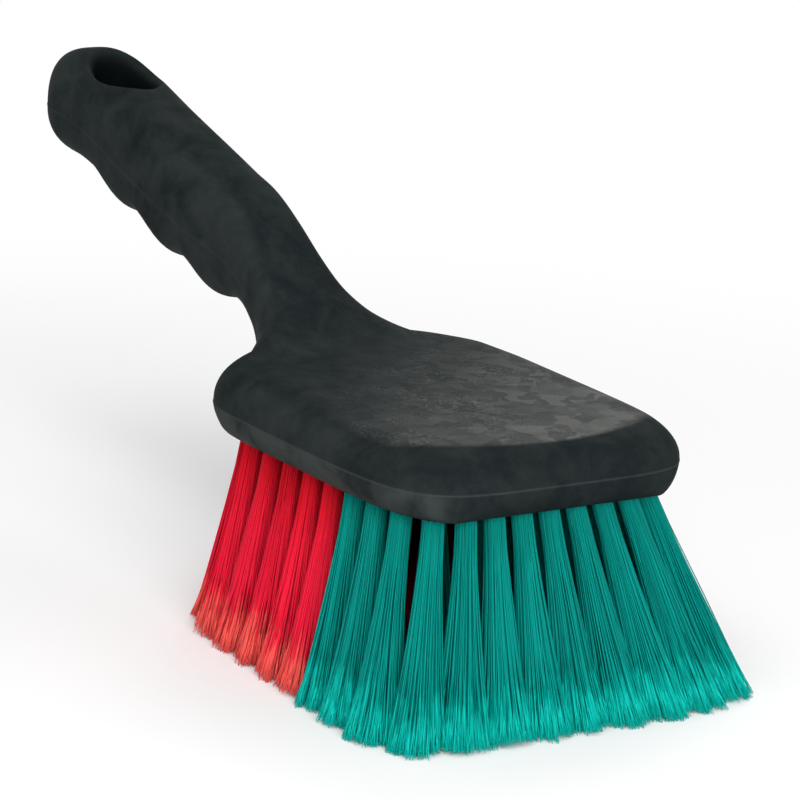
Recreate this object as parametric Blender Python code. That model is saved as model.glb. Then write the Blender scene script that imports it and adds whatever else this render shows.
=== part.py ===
"""Hand scrub brush: one moulded block and handle, drilled for tufts of filament.

Metres, +Z up. X runs from the handle's end to the front of the block, and Y = 0 is
the plane that halves the block and the handle. The bristle tips stand on Z = 0.
Inside the functions "station" is the distance in front of the block's widest line.
"""
import math

import bmesh
import bpy
import numpy as np
from mathutils import Matrix, Vector

COLLECTION_NAME = "scrub_brush"
TOOL_COLLECTION_NAME = "cutters"

# The block
BLOCK_HALF_WIDTH = 0.0535
BLOCK_FRONT_REACH = 0.0715
BLOCK_REAR_REACH = 0.0555
BLOCK_SKIRT = 0.009
BLOCK_CROWN = 0.0113
SKIRT_DRAFT = 0.0055
SIDE_FILLET = 0.0135
FRONT_OUTLINE_EXPONENT = 4.8
REAR_OUTLINE_EXPONENT = 6.5
TOP_EXPONENT = 2.3
SKIRT_EXPONENT = 1.7
# The top breaks over in a bevel that is longer at the front corners than in the middle
FRONT_BEVEL = 0.010
CORNER_BEVEL = 0.036
BEVEL_EDGE_EXPONENT = 1.6
BEVEL_NOSE_EXPONENT = 2.6

# The handle, from the block's widest line back to its round end
HANDLE_REACH = 0.2372
HANDLE_RISE = 0.0613
GRIP_WIDTH = 0.033
GRIP_HEIGHT = 0.0378
END_DOME = 0.023
END_EXPONENT = 2.5
GRIP_EXPONENT = 2.6
UNDERSIDE_EXPONENT = 2.3
FINGER_DEPTH = 0.0036
FINGER_COUNT = 3
FINGER_START = 0.0495
FINGERS_FROM_END = 0.0392
PARTING_SHARE = 0.42

# Places behind the shoulders as shares of the handle's length there, 1 at its end
SPINE_SHARES = (0.0, 0.102, 0.167, 0.232, 0.308, 0.386, 0.615, 0.77, 0.857, 0.95, 1.0)
RISE_SHARES = (0.055, 0.206, 0.346, 0.470, 0.552, 0.602, 0.792, 0.935, 0.989, 1.0, 0.995)
HEIGHT_SHARES = (0.67, 0.76, 0.775, 0.83, 0.96, 0.99, 1.0, 1.0, 1.0, 1.0, 1.0)
WIDTH_PLACE_SHARES = (0.0, 0.046, 0.068, 0.102, 0.144, 0.189, 0.232, 0.308, 0.386, 0.482, 0.646, 1.0)
WIDTH_SHARES = (2.25, 1.64, 1.40, 1.16, 0.98, 0.89, 0.86, 0.88, 0.94, 0.985, 1.0, 1.0)
# The block's crown grows towards the neck: places are shares of the rear reach, behind
# the widest line, and the parting line is level as far back as the middle one
CROWN_PLACE_SHARES = (-0.75, 0.35, 0.78)
CROWN_RISE_SHARES = (1.0, 1.12, 1.16)
# The fillets reach nearly to the middle of the grip
FILLET_LIMIT_SHARE = 0.94
SHOULDER_BLEND = 0.030

# The hanging hole: its mouths follow the skin, and the upper one is dished
HANG_FROM_END = 0.0345
HANG_HALF_WIDTH = 0.0085
HANG_STRETCH_SHARE = 1.6
HANG_LIP = 0.004
HANG_LIP_DEPTH = 0.007
HANG_LIP_BELOW = 0.0015
HANG_TILT_DEGREES = 15.0
SKIN_CLEARANCE = 0.0002
CUT_OVERRUN = 0.010

# The tufts
BRISTLE_HEIGHT = 0.061
TUFT_HOLE_RADIUS = 0.0033
TUFT_HOLE_DEPTH = 0.012
FIT_GAP = 0.0003
ROOT_STANDOUT = 0.0008
STRAND_OVERLAP = 0.0005
RING_INSETS = (0.011, 0.024, 0.037, 0.050)
RING_COUNTS = (34, 16, 7, 2)
RING_STRANDS = (9, 5, 5, 5)
# The rings of tufts turn their corners more sharply than the block's edge does
RING_SQUARENESS = 1.6
# Tufts stand wider along the block than across it
SIDE_SPACING_SHARE = 1.22
RED_LIMIT = 0.0185
ROOT_SPREAD = 0.0021
TIP_SPREAD = 0.0044
STRAND_ROOT_RADIUS = 0.0007
STRAND_TIP_RADIUS = 0.0014
STRAND_SIDES = 3
FRONT_FLARE = 0.0254
REAR_FLARE = 0.0064
SIDE_FLARE_FRONT = 0.0239
SIDE_FLARE_REAR = 0.0129
SIDE_SWEEP = 0.0018

# Counts of facets, and where the facets at both ends start
UPPER_STEPS = 8
LOWER_STEPS = 5
FLAT_STEPS = 3
DOME_STEPS = 7
GRIP_STEPS = 3
FINGER_STEPS = 6
NECK_STEPS = 11
SHOULDER_STEPS = 6
SIDE_STEPS = 5
FRONT_STEPS = 9
HANG_SIDES = 28
LIP_STEPS = 5
SKIN_TRIES = 5
PLUG_SIDES = 8
DOME_LAST_DEGREES = 85.0
FRONT_FIRST_DEGREES = 3.0
OUTLINE_SAMPLES = 1440
CREASE_DEGREES = 35.0

BLACK = (0.030, 0.034, 0.034)
RED = (0.60, 0.010, 0.025)
GREEN = (0.0, 0.29, 0.22)
PLASTIC_ROUGHNESS = 0.55
FILAMENT_ROUGHNESS = 0.45

FINGER_ZONE = HANDLE_REACH - BLOCK_REAR_REACH - FINGER_START - FINGERS_FROM_END
FINGER_PITCH = FINGER_ZONE / FINGER_COUNT
UNDERSIDE_Z = BRISTLE_HEIGHT
PARTING_Z = BRISTLE_HEIGHT + BLOCK_SKIRT
FRONT_TIP_REACH = BLOCK_FRONT_REACH - RING_INSETS[0] + FRONT_FLARE + TIP_SPREAD + STRAND_TIP_RADIUS
# Station of the origin, which halves the brush from its end to its foremost tips
ORIGIN_STATION = (FRONT_TIP_REACH - HANDLE_REACH) / 2


def clear_scene():
    for obj in list(bpy.data.objects):
        bpy.data.objects.remove(obj, do_unlink=True)


def new_collection(name):
    collection = bpy.data.collections.new(name)
    bpy.context.scene.collection.children.link(collection)
    return collection


def plastic(name, colour, roughness):
    material = bpy.data.materials.new(name)
    material.use_nodes = True
    shader = material.node_tree.nodes["Principled BSDF"]
    shader.inputs["Base Color"].default_value = (*colour, 1.0)
    shader.inputs["Roughness"].default_value = roughness
    shader.inputs["Metallic"].default_value = 0.0
    material.diffuse_color = (*colour, 1.0)
    return material


def mesh_object(name, mesh_builder, collection, material=None):
    """Make an object from a bmesh, with its faces turned outward."""
    bmesh.ops.recalc_face_normals(mesh_builder, faces=mesh_builder.faces)
    mesh = bpy.data.meshes.new(name)
    mesh_builder.to_mesh(mesh)
    mesh_builder.free()
    obj = bpy.data.objects.new(name, mesh)
    collection.objects.link(obj)
    if material:
        mesh.materials.append(material)
    return obj


def smooth_step(value):
    value = min(max(value, 0.0), 1.0)
    return value * value * (3 - 2 * value)


def along(places, values, place):
    """Read a smooth curve through the given points, level past its two ends."""
    if place <= places[0]:
        return values[0]
    if place >= places[-1]:
        return values[-1]
    right = next(i for i, limit in enumerate(places) if limit >= place)
    left = right - 1
    span = places[right] - places[left]
    t = (place - places[left]) / span

    def slope(i):
        before = max(i - 1, 0)
        after = min(i + 1, len(places) - 1)
        return (values[after] - values[before]) / (places[after] - places[before]) * span

    start = values[left] * (1 + 2 * t) * (1 - t) ** 2 + slope(left) * t * (1 - t) ** 2
    return start + values[right] * (3 - 2 * t) * t ** 2 + slope(right) * (t - 1) * t ** 2


def handle_share(station):
    """Share of the handle behind the shoulders at this station."""
    return (-station - BLOCK_REAR_REACH) / (HANDLE_REACH - BLOCK_REAR_REACH)


def oval(share, exponent):
    """Height of a unit superellipse at a share of its half-width."""
    share = min(abs(share), 1.0)
    return (1 - share ** exponent) ** (1 / exponent)


def outline_half_width(station):
    """Half-width of block, neck and handle at the parting line."""
    if station >= 0:
        return BLOCK_HALF_WIDTH * oval(station / BLOCK_FRONT_REACH, FRONT_OUTLINE_EXPONENT)
    block = BLOCK_HALF_WIDTH * oval(station / BLOCK_REAR_REACH, REAR_OUTLINE_EXPONENT)
    share = handle_share(station)
    if share < 0:
        return max(block, GRIP_WIDTH / 2 * WIDTH_SHARES[0])
    return GRIP_WIDTH / 2 * along(WIDTH_PLACE_SHARES, WIDTH_SHARES, share)


def spine(station):
    """Height of the middle of the section, and its full height, without fingers or dome."""
    places = [-share * BLOCK_REAR_REACH for share in CROWN_PLACE_SHARES]
    heights = [BLOCK_SKIRT + share * BLOCK_CROWN for share in CROWN_RISE_SHARES]
    middles = [height / 2 - BLOCK_SKIRT for height in heights]
    for share, rise, height in zip(SPINE_SHARES, RISE_SHARES, HEIGHT_SHARES):
        places.append(-BLOCK_REAR_REACH - share * (HANDLE_REACH - BLOCK_REAR_REACH))
        middles.append(rise * HANDLE_RISE)
        heights.append(height * GRIP_HEIGHT)
    places.reverse()
    middles.reverse()
    heights.reverse()
    return along(places, middles, station), along(places, heights, station)


def dome_scale(station):
    """Narrowing of the handle's round end."""
    return oval(max(END_DOME - HANDLE_REACH - station, 0.0) / END_DOME, END_EXPONENT)


def bevel_scale(station, side):
    """Fall of the top towards the block's front edge."""
    length = FRONT_BEVEL + (CORNER_BEVEL - FRONT_BEVEL) * (side / BLOCK_HALF_WIDTH) ** 2
    share = max(station - (BLOCK_FRONT_REACH - length), 0.0) / length
    return (1 - share ** BEVEL_EDGE_EXPONENT) ** (1 / BEVEL_NOSE_EXPONENT)


def skirt_scale(station):
    """Fall of the skirt towards the block's front edge."""
    return oval(max(station - (BLOCK_FRONT_REACH - SKIRT_DRAFT), 0.0) / SKIRT_DRAFT, SKIRT_EXPONENT)


def finger_drop(station):
    """How far the finger ridges stand out below the grip."""
    turns = (-BLOCK_REAR_REACH - FINGER_START - station) / FINGER_PITCH
    if not 0 < turns < FINGER_COUNT:
        return 0.0
    return FINGER_DEPTH / 2 * (1 - math.cos(math.tau * turns))


def section(station):
    """Points of the body's section, anticlockwise from the right-hand parting line."""
    middle, height = spine(station)
    scale = dome_scale(station)
    half_width = outline_half_width(station) * scale
    top = middle + height / 2 * scale
    bottom = middle - height / 2 * scale
    parting = bottom + PARTING_SHARE * (top - bottom)
    if station > -BLOCK_REAR_REACH * CROWN_PLACE_SHARES[1]:
        parting = 0.0
    upper = top - parting
    lower = (parting - bottom) * skirt_scale(station) + finger_drop(station) * scale
    behind = smooth_step((-BLOCK_REAR_REACH - station) / SHOULDER_BLEND + 1 / 2)
    widest = FILLET_LIMIT_SHARE * half_width
    upper_fillet = min(SIDE_FILLET, widest) * (1 - behind) + widest * behind
    lower_fillet = min(SKIRT_DRAFT, widest) * (1 - behind) + widest * behind
    upper_exponent = TOP_EXPONENT * (1 - behind) + GRIP_EXPONENT * behind
    lower_exponent = SKIRT_EXPONENT * (1 - behind) + UNDERSIDE_EXPONENT * behind

    def corner(angle, fillet, depth, exponent):
        side = half_width - fillet * (1 - max(math.cos(angle), 0.0) ** (2 / exponent))
        return side, depth * math.sin(angle) ** (2 / exponent)

    above = [corner(math.pi / 2 * i / UPPER_STEPS, upper_fillet, upper, upper_exponent)
             for i in range(UPPER_STEPS + 1)]
    below = [corner(math.pi / 2 * i / LOWER_STEPS, lower_fillet, lower, lower_exponent)
             for i in range(1, LOWER_STEPS + 1)]
    above += [(above[-1][0] * share / FLAT_STEPS, upper) for share in range(FLAT_STEPS - 1, -1, -1)]
    above = [(side, rise * bevel_scale(station, side)) for side, rise in above]
    ring = [(side, parting + rise) for side, rise in above]
    ring += [(-side, parting + rise) for side, rise in reversed(above[:-1])]
    ring += [(-side, parting - drop) for side, drop in below]
    ring.append((0.0, parting - lower))
    ring += [(side, parting - drop) for side, drop in reversed(below)]
    return ring


def evenly(start, end, steps):
    return [start + (end - start) * i / steps for i in range(1, steps + 1)]


def body_stations():
    """Stations of the loft, from the handle's end to the block's front."""
    dome_start = END_DOME - HANDLE_REACH
    stations = []
    for i in range(DOME_STEPS + 1):
        angle = math.radians(DOME_LAST_DEGREES) * (1 - i / DOME_STEPS)
        stations.append(dome_start - END_DOME * math.sin(angle) ** (2 / END_EXPONENT))
    finger_front = -BLOCK_REAR_REACH - FINGER_START
    finger_rear = finger_front - FINGER_PITCH * FINGER_COUNT
    stations += evenly(dome_start, finger_rear, GRIP_STEPS)
    stations += evenly(finger_rear, finger_front, FINGER_STEPS * FINGER_COUNT)
    stations += evenly(finger_front, -BLOCK_REAR_REACH, NECK_STEPS)
    for i in range(1, SHOULDER_STEPS + 1):
        angle = math.pi / 2 * (1 - i / (SHOULDER_STEPS + 1))
        stations.append(-BLOCK_REAR_REACH * math.sin(angle) ** (2 / REAR_OUTLINE_EXPONENT))
    front_start = BLOCK_FRONT_REACH - CORNER_BEVEL / 2
    stations += evenly(stations[-1], front_start, SIDE_STEPS)
    start = math.acos((front_start / BLOCK_FRONT_REACH) ** (FRONT_OUTLINE_EXPONENT / 2))
    last = math.radians(FRONT_FIRST_DEGREES)
    for angle in evenly(start, last, FRONT_STEPS):
        stations.append(BLOCK_FRONT_REACH * math.cos(angle) ** (2 / FRONT_OUTLINE_EXPONENT))
    return stations


def body_shell(name, collection, material):
    """Loft the block, neck and handle through their sections and cap both ends."""
    shell = bmesh.new()
    rings = []
    for station in body_stations():
        place = station - ORIGIN_STATION
        rings.append([shell.verts.new((place, side, PARTING_Z + height))
                      for side, height in section(station)])
    for near, far in zip(rings, rings[1:]):
        for i in range(len(near)):
            after = (i + 1) % len(near)
            shell.faces.new((near[i], near[after], far[after], far[i]))
    shell.faces.new(rings[0])
    shell.faces.new(rings[-1])
    return mesh_object(name, shell, collection, material)


def skin_height(station, side, above):
    """Height of the body's top or underside at a distance from its middle plane."""
    ring = section(station)
    upper_count = 2 * (UPPER_STEPS + FLAT_STEPS) + 1
    half = ring[:upper_count] if above else ring[upper_count - 1:] + ring[:1]
    sides, heights = zip(*sorted(half))
    return np.interp(side, sides, heights)


def hanging_hole_rings(above):
    """Rings of the bore's upper or lower half, from outside the skin to the end of the lip."""
    station = HANG_FROM_END - HANDLE_REACH
    middle, height = spine(station)
    tilt = math.radians(HANG_TILT_DEGREES)
    outward = 1 if above else -1
    lip = HANG_LIP if above else HANG_LIP_BELOW
    lip_depth = HANG_LIP_DEPTH if above else HANG_LIP_BELOW
    angles = [math.tau * i / HANG_SIDES for i in range(HANG_SIDES)]

    def oval_place(radius, angle):
        return radius * HANG_STRETCH_SHARE * math.cos(angle), radius * math.sin(angle)

    def skin_from_middle(angle):
        """Distance along the bore from its middle to the skin, closed in on by steps."""
        ahead, side = oval_place(HANG_HALF_WIDTH + lip, angle)
        distance = outward * height / 2
        for _ in range(SKIN_TRIES):
            place = station + ahead * math.cos(tilt) + distance * math.sin(tilt)
            rise = skin_height(place, side, above) - middle
            distance = (rise + ahead * math.sin(tilt)) / math.cos(tilt)
        return distance + outward * SKIN_CLEARANCE

    skin = [skin_from_middle(angle) for angle in angles]
    steps = [(HANG_HALF_WIDTH + lip, CUT_OVERRUN)]
    for i in range(LIP_STEPS + 1):
        turn = math.pi / 2 * i / LIP_STEPS
        steps.append((HANG_HALF_WIDTH + lip * (1 - math.sin(turn)), lip_depth * (math.cos(turn) - 1)))
    return [[(*oval_place(radius, angle), reach + outward * rise) for angle, reach in zip(angles, skin)]
            for radius, rise in steps]


def hanging_hole_tool(collection):
    """Oval bore through the handle's end."""
    station = HANG_FROM_END - HANDLE_REACH
    middle, _ = spine(station)
    tool = bmesh.new()
    rings = [[tool.verts.new(point) for point in ring]
             for ring in hanging_hole_rings(True) + hanging_hole_rings(False)[::-1]]
    for near, far in zip(rings, rings[1:]):
        for i in range(HANG_SIDES):
            after = (i + 1) % HANG_SIDES
            tool.faces.new((near[i], near[after], far[after], far[i]))
    tool.faces.new(rings[0])
    tool.faces.new(rings[-1])
    obj = mesh_object("hanging_hole_tool", tool, collection)
    tilt = Matrix.Rotation(math.radians(HANG_TILT_DEGREES), 4, "Y")
    obj.matrix_world = Matrix.Translation((station - ORIGIN_STATION, 0, PARTING_Z + middle)) @ tilt
    return obj


def ring_places(inset, count):
    """Root places of one ring of tufts, spaced round the inset outline."""
    width = BLOCK_HALF_WIDTH - inset
    points = []
    for i in range(OUTLINE_SAMPLES + 1):
        angle = math.tau * i / OUTLINE_SAMPLES
        ahead = math.cos(angle) >= 0
        reach = (BLOCK_FRONT_REACH if ahead else BLOCK_REAR_REACH) - inset
        exponent = FRONT_OUTLINE_EXPONENT if ahead else REAR_OUTLINE_EXPONENT
        exponent *= RING_SQUARENESS
        along_x = math.copysign(abs(math.cos(angle)) ** (2 / exponent), math.cos(angle))
        along_y = math.copysign(abs(math.sin(angle)) ** (2 / exponent), math.sin(angle))
        points.append(Vector((reach * along_x, width * along_y, 0.0)))

    def length(before, after):
        """Length of a step, counted short along the block."""
        return math.hypot((after.x - before.x) / SIDE_SPACING_SHARE, after.y - before.y)

    spacing = sum(length(before, after) for before, after in zip(points, points[1:])) / count
    places = []
    travelled = 0.0
    for before, after in zip(points, points[1:]):
        step = length(before, after)
        while len(places) < count and travelled + step > spacing * len(places):
            places.append(before.lerp(after, (spacing * len(places) - travelled) / step))
        travelled += step
    return places


def tip_place(root):
    """Where the middle of a tuft ends on the plane of the tips."""
    rear = RING_INSETS[0] - BLOCK_REAR_REACH
    front = BLOCK_FRONT_REACH - RING_INSETS[0]
    share = (root.x - rear) / (front - rear)
    lean_x = FRONT_FLARE * share - REAR_FLARE * (1 - share)
    side_flare = SIDE_FLARE_FRONT * share + SIDE_FLARE_REAR * (1 - share)
    lean_y = side_flare * root.y / (BLOCK_HALF_WIDTH - RING_INSETS[0]) + SIDE_SWEEP
    return Vector((root.x + lean_x, root.y + lean_y, 0.0))


def tuft_layout():
    """Root place and strand count of every tuft, outer ring first."""
    layout = []
    for inset, count, strands in zip(RING_INSETS, RING_COUNTS, RING_STRANDS):
        layout += [(root, strands) for root in ring_places(inset, count)]
    return layout


def prism_between(mesh_builder, bottom, bottom_radius, top, top_radius, sides, turn):
    """A closed prism between two level polygons."""
    rings = []
    for centre, radius in ((bottom, bottom_radius), (top, top_radius)):
        rings.append([mesh_builder.verts.new((centre.x + radius * math.cos(turn + math.tau * i / sides),
                                              centre.y + radius * math.sin(turn + math.tau * i / sides),
                                              centre.z)) for i in range(sides)])
    for i in range(sides):
        after = (i + 1) % sides
        mesh_builder.faces.new((rings[0][i], rings[0][after], rings[1][after], rings[1][i]))
    mesh_builder.faces.new(rings[0])
    mesh_builder.faces.new(rings[1])


def tuft_holes_tool(layout, collection):
    """Every blind tuft hole as one cutter."""
    tool = bmesh.new()
    for root, _ in layout:
        centre = Vector((root.x - ORIGIN_STATION, root.y, 0.0))
        mouth = centre + Vector((0, 0, UNDERSIDE_Z - CUT_OVERRUN))
        floor = centre + Vector((0, 0, UNDERSIDE_Z + TUFT_HOLE_DEPTH))
        prism_between(tool, mouth, TUFT_HOLE_RADIUS, floor, TUFT_HOLE_RADIUS, PLUG_SIDES, 0.0)
    return mesh_object("tuft_holes_tool", tool, collection)


def strand_offsets(count):
    """Unit places of a tuft's strands: one in the middle, the rest round it."""
    yield Vector((0, 0, 0)), 0.0
    for i in range(count - 1):
        angle = math.tau * i / (count - 1)
        yield Vector((math.cos(angle), math.sin(angle), 0)), angle


def tuft(name, root, strands, collection, tools, material):
    """One tuft: its root plug in the hole, fused to strands that reach the tip plane."""
    shift = Vector((-ORIGIN_STATION, 0, 0))
    plug = bmesh.new()
    plug_radius = TUFT_HOLE_RADIUS - FIT_GAP
    plug_bottom = root + shift + Vector((0, 0, UNDERSIDE_Z - ROOT_STANDOUT))
    plug_top = root + shift + Vector((0, 0, UNDERSIDE_Z + TUFT_HOLE_DEPTH - FIT_GAP))
    prism_between(plug, plug_bottom, plug_radius, plug_top, plug_radius, PLUG_SIDES, 0.0)
    body = mesh_object(name, plug, collection, material)

    strand_mesh = bmesh.new()
    tip = tip_place(root) + shift
    start = plug_bottom + Vector((0, 0, STRAND_OVERLAP))
    for offset, turn in strand_offsets(strands):
        prism_between(strand_mesh, tip + offset * TIP_SPREAD, STRAND_TIP_RADIUS,
                      start + offset * ROOT_SPREAD, STRAND_ROOT_RADIUS, STRAND_SIDES, turn)
    tool = mesh_object(name + "_strands", strand_mesh, tools)
    join_solid(body, tool, "UNION")
    return body


def join_solid(body, tool, operation):
    boolean = body.modifiers.new(operation.lower(), "BOOLEAN")
    boolean.operation = operation
    boolean.solver = "EXACT"
    boolean.object = tool
    tool.hide_render = True
    tool.display_type = "WIRE"


def shade(obj, crease_degrees):
    obj.data.shade_smooth()
    obj.data.set_sharp_from_angle(angle=math.radians(crease_degrees))


def build():
    clear_scene()
    parts = new_collection(COLLECTION_NAME)
    tools = new_collection(TOOL_COLLECTION_NAME)
    black = plastic("black_plastic", BLACK, PLASTIC_ROUGHNESS)
    red = plastic("red_filament", RED, FILAMENT_ROUGHNESS)
    green = plastic("green_filament", GREEN, FILAMENT_ROUGHNESS)

    layout = tuft_layout()
    body = body_shell("handle_block", parts, black)
    join_solid(body, hanging_hole_tool(tools), "DIFFERENCE")
    join_solid(body, tuft_holes_tool(layout, tools), "DIFFERENCE")
    shade(body, CREASE_DEGREES)

    counts = {"red": 0, "green": 0}
    for root, strands in layout:
        colour = "red" if root.x < RED_LIMIT else "green"
        counts[colour] += 1
        name = f"tuft_{colour}_{counts[colour]:02d}"
        tuft(name, root, strands, parts, tools, red if colour == "red" else green)


build()
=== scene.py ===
"""Looks of the hand scrub brush: the moulded body, its filament tufts, floor, lamps and camera.

Metres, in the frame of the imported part: +X towards the front of the block, +Z up, tips on Z = 0.
"station" is the distance in front of the block's widest line, as in the part's own source.
"""

import math

import bmesh
import bpy
import numpy as np
from mathutils import Matrix, Vector


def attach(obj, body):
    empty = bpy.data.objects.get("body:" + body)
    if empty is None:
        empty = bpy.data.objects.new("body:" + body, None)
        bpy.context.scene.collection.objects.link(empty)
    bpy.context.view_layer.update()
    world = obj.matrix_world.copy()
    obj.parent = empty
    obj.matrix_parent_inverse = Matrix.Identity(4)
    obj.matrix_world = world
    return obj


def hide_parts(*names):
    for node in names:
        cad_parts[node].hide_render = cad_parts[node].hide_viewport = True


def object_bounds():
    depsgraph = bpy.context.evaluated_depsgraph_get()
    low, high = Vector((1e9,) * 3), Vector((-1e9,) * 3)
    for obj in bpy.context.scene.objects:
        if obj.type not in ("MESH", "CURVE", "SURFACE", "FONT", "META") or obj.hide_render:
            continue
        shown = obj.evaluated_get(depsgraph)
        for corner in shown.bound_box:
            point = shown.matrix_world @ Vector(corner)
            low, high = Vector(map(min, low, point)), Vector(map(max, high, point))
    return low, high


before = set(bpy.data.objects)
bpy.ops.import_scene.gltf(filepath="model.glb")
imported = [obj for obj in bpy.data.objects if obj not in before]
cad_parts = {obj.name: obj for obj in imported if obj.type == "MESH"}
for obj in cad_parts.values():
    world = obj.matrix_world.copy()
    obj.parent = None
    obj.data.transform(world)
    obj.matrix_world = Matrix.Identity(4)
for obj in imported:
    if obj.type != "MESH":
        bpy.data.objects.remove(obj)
cad_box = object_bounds()

# The block
BLOCK_HALF_WIDTH = 0.0535
BLOCK_FRONT_REACH = 0.0715
BLOCK_REAR_REACH = 0.0555
BLOCK_SKIRT = 0.009
BLOCK_CROWN = 0.0113
SKIRT_DRAFT = 0.0055
SIDE_FILLET = 0.0135
FRONT_OUTLINE_EXPONENT = 4.8
REAR_OUTLINE_EXPONENT = 6.5
TOP_EXPONENT = 2.3
SKIRT_EXPONENT = 1.7
FRONT_BEVEL = 0.010
CORNER_BEVEL = 0.036
BEVEL_EDGE_EXPONENT = 1.6
BEVEL_NOSE_EXPONENT = 2.6

# The handle
HANDLE_REACH = 0.2372
HANDLE_RISE = 0.0613
GRIP_WIDTH = 0.033
GRIP_HEIGHT = 0.0378
END_DOME = 0.023
END_EXPONENT = 2.5
GRIP_EXPONENT = 2.6
UNDERSIDE_EXPONENT = 2.3
FINGER_DEPTH = 0.0036
FINGER_COUNT = 3
FINGER_START = 0.0495
FINGERS_FROM_END = 0.0392
PARTING_SHARE = 0.42
SPINE_SHARES = (0.0, 0.102, 0.167, 0.232, 0.308, 0.386, 0.615, 0.77, 0.857, 0.95, 1.0)
RISE_SHARES = (0.055, 0.206, 0.346, 0.470, 0.552, 0.602, 0.792, 0.935, 0.989, 1.0, 0.995)
HEIGHT_SHARES = (0.67, 0.76, 0.775, 0.83, 0.96, 0.99, 1.0, 1.0, 1.0, 1.0, 1.0)
WIDTH_PLACE_SHARES = (0.0, 0.046, 0.068, 0.102, 0.144, 0.189, 0.232, 0.308, 0.386, 0.482, 0.646, 1.0)
WIDTH_SHARES = (2.25, 1.64, 1.40, 1.16, 0.98, 0.89, 0.86, 0.88, 0.94, 0.985, 1.0, 1.0)
CROWN_PLACE_SHARES = (-0.75, 0.35, 0.78)
CROWN_RISE_SHARES = (1.0, 1.12, 1.16)
FILLET_LIMIT_SHARE = 0.94
SHOULDER_BLEND = 0.030

# The hanging hole
HANG_FROM_END = 0.0345
HANG_HALF_WIDTH = 0.0085
HANG_STRETCH_SHARE = 1.6
HANG_LIP = 0.004
HANG_LIP_DEPTH = 0.007
HANG_LIP_BELOW = 0.0015
HANG_TILT_DEGREES = 15.0
SKIN_CLEARANCE = 0.0002
CUT_OVERRUN = 0.010

# The fine skin lies this far inside the part's. The line where the halves of the mould met
# stands out of it by less, so it lies inside the part's too.
SKIN_INSET = 0.0002
FLASH_HEIGHT = 0.00013
FLASH_HALF_WIDTH = 0.0006
# The point after the line's foot lies at this share of twice the foot's distance from the line
# or, where the section is too shallow for that, at this multiple of the foot's angle
AFTER_FLASH_SHARE = 0.98
AFTER_FLASH_TURNS = 1.2
# Edges between faces that turn by more than this stay sharp
SHARP_DEGREES = 42.0

# The tufts
BRISTLE_HEIGHT = 0.061
TUFT_HOLE_RADIUS = 0.0033
TUFT_HOLE_DEPTH = 0.012
RING_INSETS = (0.011, 0.024, 0.037, 0.050)
RING_COUNTS = (34, 16, 7, 2)
RING_SQUARENESS = 1.6
# Tufts stand wider along the block than across it
SIDE_SPACING_SHARE = 1.22
# Tufts behind this station are red
RED_LIMIT = 0.0185
TIP_SPREAD = 0.0044
STRAND_TIP_RADIUS = 0.0014
FRONT_FLARE = 0.0254
REAR_FLARE = 0.0064
SIDE_FLARE_FRONT = 0.0239
SIDE_FLARE_REAR = 0.0129
SIDE_SWEEP = 0.0018

# The filaments
RING_FILAMENTS = (380, 260, 210, 210)
FILAMENT_RADIUS = 0.00021
FILAMENT_TIP_RADIUS = 0.00027
FILAMENT_SIDES = 3
ROOT_BURIED = 0.002
BEND = 0.0003
STRAY = 0.0005
TIP_FAN = 0.0099
FAN_EXPONENT = 1.85
CLUMPS = 18
CLUMP_SHIFT = 0.0008
CLUMP_SHORT = 0.0016
CLUMP_SHORT_EXPONENT = 2
SPLIT_COUNT = 3
SPLIT_RADIUS = 0.00019
SPLIT_END_RADIUS = 0.00010
SPLIT_SPREAD = 0.0009
SPLIT_OVERLAP = 0.0006
SPLIT_EXPONENT = 1.4
RAGGED_TIPS = 0.0020
RAGGED_EXPONENT = 3
# Least and greatest share of the way to the tips at which a filament splits
SPLIT_AT_SHARES = (0.72, 0.93)
# Levels of a filament's rings, as shares of the way to where it splits
LEVEL_SHARES = (0.0, 0.22, 0.45, 0.68, 0.86, 1.0)
# Levels of its split ends' rings, as shares of their own length
SPLIT_LEVEL_SHARES = (0.0, 0.5, 1.0)

# Counts of facets and steps
UPPER_STEPS = 26
LOWER_STEPS = 16
FLAT_STEPS = 6
DOME_STEPS = 26
GRIP_STEPS = 12
FINGER_STEPS = 18
NECK_STEPS = 44
SHOULDER_STEPS = 22
SIDE_STEPS = 24
FRONT_STEPS = 34
HANG_SIDES = 56
LIP_STEPS = 12
SKIN_TRIES = 5
HOLE_SIDES = 16
OUTLINE_SAMPLES = 1440
# Angles round the handle's dome and the block's front at which the body's end sections lie
DOME_LAST_DEGREES = 85.0
FRONT_FIRST_DEGREES = 3.0

# The camera, fitted to the photograph. Pixels are those of its 800-pixel frame.
FRAME_PIXELS = 800
FOCAL_PIXELS = 3500
SENSOR_WIDTH = 36.0
CAMERA_AZIMUTH_DEGREES = 55.5
CAMERA_ELEVATION_DEGREES = 15.0
CAMERA_ROLL_DEGREES = 3.273
CAMERA_DISTANCE = 1.057
AIM_STATION = 0.002
AIM_PIXEL = (437.707, 425.278)

# The floor
FLOOR_HALF = 6.0
FLOOR_COLOUR = (0.92, 0.92, 0.92, 1.0)
FLOOR_ROUGHNESS = 0.9
# Distances from the origin between which it turns from lit to plain white
FLOOR_FADE = (0.20, 0.55)

# The light
WORLD_STRENGTH = 0.50
# Each lamp: name, direction it shines from as azimuth and elevation, distance, size, watts
LAMPS = (
    ("front", 70.0, 20.0, 1.5, 1.0, 18.0),
    ("top", 20.0, 65.0, 1.4, 0.9, 6.0),
    ("back", 225.0, 40.0, 1.4, 0.8, 4.0),
)
LAMP_AIM = Vector((0.03, 0.0, 0.07))

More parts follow.
